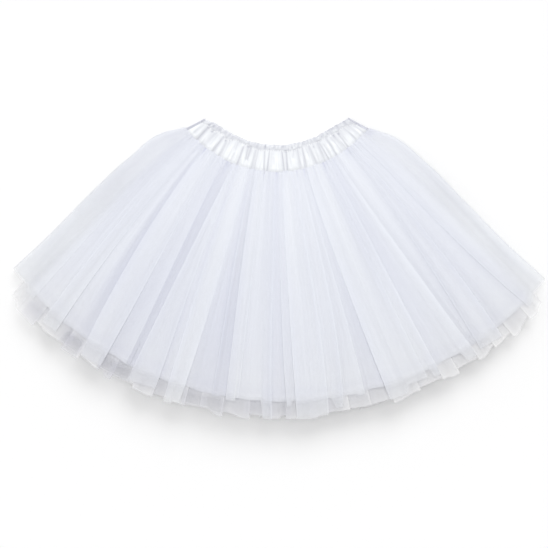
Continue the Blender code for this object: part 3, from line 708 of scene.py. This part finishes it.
def net_finish(name, density, tint=(1, 1, 1)):
    """Soft white net. Its holes let light through. It looks denser at the bend of a fold and in streaks
    along the gathers, fine and broad. Painted shade darkens it towards a cooler colour in the creases, under
    the folds' edges, towards the hem and in broad bands.

    Alpha = density x cover x threads x (streaks + bend + closeness, which falls from the waist to the hem,
    because gathered cloth is closer together)."""
    net = Finish(name, {"Roughness": 0.7, "Specular IOR Level": 0.15, "Sheen Weight": 0.1,
                        "Sheen Roughness": 0.5})
    fine = net.maths("SUBTRACT", net.noise(FINE_STREAKS, 4.0, "2D"), 0.5)
    broad = net.maths("SUBTRACT", net.noise(BROAD_STREAKS, 1.0, "2D"), 0.5)
    bend = net.stored("bend")
    streaks = net.total(1.06, (fine, 0.15), (broad, 0.28), (bend, 0.16), (net.stored("below"), -0.10))
    streaks = net.maths("MULTIPLY", streaks, net.stored("cover"))
    meshes = {"Vector": net.stretched(*NET_MESHES), "Scale": 1.0, "Randomness": 1.0}
    meshes = net.add("ShaderNodeTexVoronoi", meshes, voronoi_dimensions="2D", feature="DISTANCE_TO_EDGE")
    threads = net.ranged(meshes.outputs["Distance"], (0.05, 1.30), (0.20, 0.77), "SMOOTHSTEP")
    dense = net.maths("MULTIPLY", net.maths("MULTIPLY", streaks, threads), density)
    alpha = net.add("ShaderNodeClamp", {"Value": dense, "Min": 0.05, "Max": 0.95}).outputs["Result"]

    # painted shade: the shade value darkens the net towards its colour in painted shade
    lit = net.total(0.82, (broad, 0.22), (bend, 0.14), (net.stored("shade"), -0.60))
    painted_shade_colour, light = ((*np.multiply(colour, tint), 1) for colour in (NET_IN_PAINTED_SHADE, NET_IN_LIGHT))
    colour = net.mixed(lit, painted_shade_colour, light)
    colour = net.mixed(net.stored("warm"), colour, NET_WARMTH, "MULTIPLY")

    # round threads catch the light nearly alike whichever way the net turns, so its normal leans up or down
    facing = net.add("ShaderNodeNewGeometry").outputs["Normal"]
    split = net.add("ShaderNodeSeparateXYZ", {"Vector": facing})
    upward = net.ranged(split.outputs["Z"], (-0.06, -1.6), (0.06, 1.6))
    lean = net.add("ShaderNodeCombineXYZ", {"Z": upward}).outputs["Vector"]
    leaning = net.add("ShaderNodeVectorMath", {0: facing, 1: lean}, operation="ADD").outputs["Vector"]
    normal = net.add("ShaderNodeVectorMath", {0: leaning}, operation="NORMALIZE").outputs["Vector"]
    net.feed(net.shader, {"Base Color": colour, "Alpha": alpha, "Normal": normal})
    return net.material


outer_front = tulle_wall(
    OUTER_FOLDS, spread=47.5, ripples=0.7, at_seam=5.0 * MM, seam=7.4 * MM, rise=23.0 * MM, layer=0.08 * MM,
    hems=(376 * MM, 383 * MM, 388 * MM), inset=0.0, seed=21, step=0.80, gathers=95, hem_dusk=0.2,
    painted_shade_bands=PAINTED_SHADE_BANDS)
outer_back = tulle_wall(
    loose_folds(20, seed=22, tuck=1.2, drop=5), spread=LOOSE_SPREAD, ripples=0.5, at_seam=0.35 * MM,
    seam=0.35 * MM, rise=0.0, layer=0.6 * MM, hems=(376 * MM, 386 * MM, 388 * MM), inset=0.0, seed=23,
    step=1.5)
outer_tulle = tulle_tube("outer_tulle", outer_front, outer_back, inset=0.0)
outer_tulle.data.materials.append(net_finish("outer_net", density=0.76))
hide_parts("tulle_outer")
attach(outer_tulle, "root")

# ======================================================================================================
# Middle tulle. A tube of the same net, cut a little longer and gathered into the same seam inside the outer
# one. Its raw hem shows below the outer one's.
# ======================================================================================================
# The front's net along its hem. Where it is spread thin, the dark inside of the tube shows, and there its
# colour also gets painted shade; a negative shade paints it lighter.
MIDDLE_HEM = np.array([
    # degrees, how densely it lies, how deep in shade
    (-45, 1.0, 0.0), (-44.3, 0.75, 0.55), (-42.2, 0.75, 0.5), (-41.4, 1.0, -0.2), (-38.4, 1.0, -0.15),
    (-37.2, 0.9, 0.2), (-36.6, 0.5, 0.9), (-34.2, 0.5, 0.9), (-33.2, 1.0, 0.1), (-30, 0.95, 0.15),
    (-29.4, 0.45, 0.95), (-25, 0.45, 0.9), (-24, 0.9, 0.15), (-20.5, 0.9, 0.15), (-19.5, 0.75, 0.4),
    (-18.3, 0.8, 0.35), (-17.5, 1.0, 0.0), (-15.8, 0.95, 0.05), (-15, 0.65, 0.5), (-9, 0.65, 0.45),
    (-7.5, 0.9, 0.15), (-6, 0.95, 0.15), (-4.5, 0.75, 0.35), (-1.5, 0.9, 0.2), (0, 0.8, 0.3),
    (1.5, 0.7, 0.4), (3, 0.85, 0.25), (6.5, 0.9, 0.1), (7.8, 1.0, 0.0), (8.6, 0.8, 0.3), (9.6, 0.85, 0.25),
    (10.5, 1.0, 0.05), (14, 0.95, 0.1), (17.5, 1.0, 0.0), (18.5, 1.0, 0.0), (22, 1.0, -0.05),
    (25, 1.0, -0.1), (27, 1.0, -0.1), (30, 1.0, -0.2), (33.6, 1.0, -0.2), (35, 1.0, -0.2),
    (46, 1.05, -0.15),
])
MIDDLE_INSET = 3.2  # degrees inside the outer tube's side folds
middle_front = tulle_wall(
    loose_folds(26, seed=31, tuck=1.4, drop=6), spread=LOOSE_SPREAD, ripples=0.4, at_seam=4.8 * MM,
    seam=6.2 * MM, rise=22.0 * MM, layer=0.25 * MM, hems=(397 * MM, 399 * MM, 402 * MM),
    inset=MIDDLE_INSET, seed=32, step=1.2, thin_hem=MIDDLE_HEM, thin_from=-20 * MM)
middle_back = tulle_wall(
    loose_folds(22, seed=33, tuck=1.2, drop=4), spread=LOOSE_SPREAD, ripples=0.4, at_seam=0.9 * MM,
    seam=2.1 * MM, rise=4.6 * MM, layer=0.45 * MM, hems=(395 * MM, 400 * MM, 400 * MM),
    inset=MIDDLE_INSET, seed=34, step=1.3)
middle_tulle = tulle_tube("middle_tulle", middle_front, middle_back, MIDDLE_INSET)
middle_tulle.data.materials.append(net_finish("middle_net", density=0.58, tint=(1.0, 0.985, 0.965)))
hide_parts("tulle_middle")
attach(middle_tulle, "root")

# ======================================================================================================
# Inner tulle. The innermost tube of the net, cut a little shorter than the middle one and gathered into the
# same seam. It shows only as a darker layer through the two over it.
# ======================================================================================================
INNER_INSET = 6.6  # degrees inside the outer tube's side folds
inner_front = tulle_wall(
    loose_folds(24, seed=41, tuck=1.4, drop=4), spread=LOOSE_SPREAD, ripples=0.4, at_seam=4.5 * MM,
    seam=5.2 * MM, rise=12.0 * MM, layer=0.35 * MM, hems=(380 * MM, 386 * MM, 386 * MM),
    inset=INNER_INSET, seed=42, step=1.3)
inner_back = tulle_wall(
    loose_folds(20, seed=43, tuck=1.2, drop=3), spread=LOOSE_SPREAD, ripples=0.4, at_seam=1.5 * MM,
    seam=3.65 * MM, rise=8.8 * MM, layer=0.45 * MM, hems=(380 * MM, 388 * MM, 386 * MM),
    inset=INNER_INSET, seed=44, step=1.4)
inner_tulle = tulle_tube("inner_tulle", inner_front, inner_back, INNER_INSET)
inner_tulle.data.materials.append(net_finish("inner_net", density=0.34))
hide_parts("tulle_inner")
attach(inner_tulle, "root")

# ======================================================================================================
# Table, light and camera. A plain white table in an even white room, with soft lamps overhead, beyond the
# waist and at the left. The camera looks straight down.
# ======================================================================================================
TABLE_REACH = 3.0  # to each side
TABLE_TOP = -0.2 * MM
floor_mesh = bpy.data.meshes.new("table")
corners = [(x * TABLE_REACH, y * TABLE_REACH, TABLE_TOP) for x, y in ((-1, -1), (1, -1), (1, 1), (-1, 1))]
floor_mesh.from_pydata(corners, [], [(0, 1, 2, 3)])
floor = bpy.data.objects.new("table", floor_mesh)
bpy.context.collection.objects.link(floor)
floor_material = bpy.data.materials.new("white_table")
floor_material.use_nodes = True
floor_shader = floor_material.node_tree.nodes["Principled BSDF"]
floor_shader.inputs["Base Color"].default_value = (0.92, 0.92, 0.92, 1)
floor_shader.inputs["Roughness"].default_value = 1.0
floor_shader.inputs["Specular IOR Level"].default_value = 0.0
floor_mesh.materials.append(floor_material)

world = bpy.data.worlds.new("room")
world.use_nodes = True
world.node_tree.nodes["Background"].inputs["Color"].default_value = (1, 1, 1, 1)
world.node_tree.nodes["Background"].inputs["Strength"].default_value = 0.50
bpy.context.scene.world = world

LAMPS = (
    # strength, and in degrees how soft, tilt from straight down and turn about the vertical
    ("overhead", 0.65, 30, 0, 0),
    ("window", 1.7, 36, 52, -16),
    ("side_lamp", 0.35, 40, 62, 80),
)
for name, energy, softness, tilt, turn in LAMPS:
    lamp_data = bpy.data.lights.new(name, "SUN")
    lamp_data.energy = energy
    lamp_data.angle = math.radians(softness)
    lamp = bpy.data.objects.new(name, lamp_data)
    lamp.rotation_euler = (math.radians(-tilt), 0, math.radians(turn))
    bpy.context.collection.objects.link(lamp)

CAMERA_X = -6 * MM
CAMERA_Y = -6.6 * MM
CAMERA_HEIGHT = 2.3
VIEW_WIDTH = 0.6028  # that the view spans
VIEW_LEVEL = 0.02  # height over the table where it does
SENSOR_WIDTH = 36
camera_data = bpy.data.cameras.new("camera")
camera_data.sensor_width = SENSOR_WIDTH
camera_data.lens = SENSOR_WIDTH * (CAMERA_HEIGHT - VIEW_LEVEL) / VIEW_WIDTH
camera = bpy.data.objects.new("camera", camera_data)
camera.location = (CAMERA_X, CAMERA_Y, CAMERA_HEIGHT)
bpy.context.collection.objects.link(camera)
bpy.context.scene.camera = camera
bpy.context.scene.view_settings.view_transform = "Standard"
bpy.context.scene.cycles.transparent_max_bounces = 48
